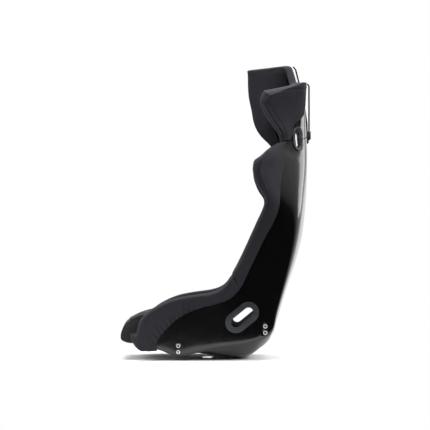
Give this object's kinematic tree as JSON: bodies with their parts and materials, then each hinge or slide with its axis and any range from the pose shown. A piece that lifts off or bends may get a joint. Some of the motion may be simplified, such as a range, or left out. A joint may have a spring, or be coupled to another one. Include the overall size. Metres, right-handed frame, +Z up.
{
  "type": "racing seat",
  "caption": "High-sided fixed-back racing seat: glossy moulded shell, fabric covers and cushions, head wings, belt slots and side mounts.",
  "frame": {"origin": "centre of the seat's overall box, on the floor that its base stands on", "axes": "+Z up, -Y the way the driver faces, +X towards the driver's left"},
  "size_m": [0.5656, 0.63, 0.9838],
  "materials": {
    "shell_laminate": "gloss",
    "mount_steel": "satin",
    "insert_steel": "bright",
    "slot_rubber": "satin",
    "cushion_fabric": "matt knit",
    "cover_fabric": "matt knit",
    "strap_elastic": "woven",
    "buckle_plastic": "matt"
  },
  "bodies": {
    "root": {"shell": "shell_laminate", "mount_plate_front_left": "mount_steel", "mount_plate_front_right": "mount_steel", "mount_plate_rear_left": "mount_steel", "mount_plate_rear_right": "mount_steel", "mount_inserts_left": "insert_steel", "mount_inserts_right": "insert_steel", "lap_slot_trim_left": "slot_rubber", "lap_slot_trim_right": "slot_rubber", "lap_slot_backing_left": "slot_rubber", "lap_slot_backing_right": "slot_rubber", "harness_slot_trim_left": "slot_rubber", "harness_slot_trim_right": "slot_rubber", "harness_slot_backing_left": "slot_rubber", "harness_slot_backing_right": "slot_rubber", "crotch_slot_trim": "slot_rubber", "crotch_slot_backing": "slot_rubber", "seat_cushion": "cushion_fabric", "leg_cushion": "cushion_fabric", "lumbar_cushion": "cushion_fabric", "back_cushion": "cushion_fabric", "head_cushion": "cushion_fabric", "thigh_cover_left": "cover_fabric", "thigh_cover_right": "cover_fabric", "back_cover_left": "cover_fabric", "back_cover_right": "cover_fabric", "head_cover_left": "cover_fabric", "head_cover_right": "cover_fabric", "head_cover_top": "cover_fabric", "cover_strap_left": "strap_elastic", "cover_strap_right": "strap_elastic", "strap_buckle_left": "buckle_plastic", "strap_buckle_right": "buckle_plastic"}
  },
  "joints": []
}
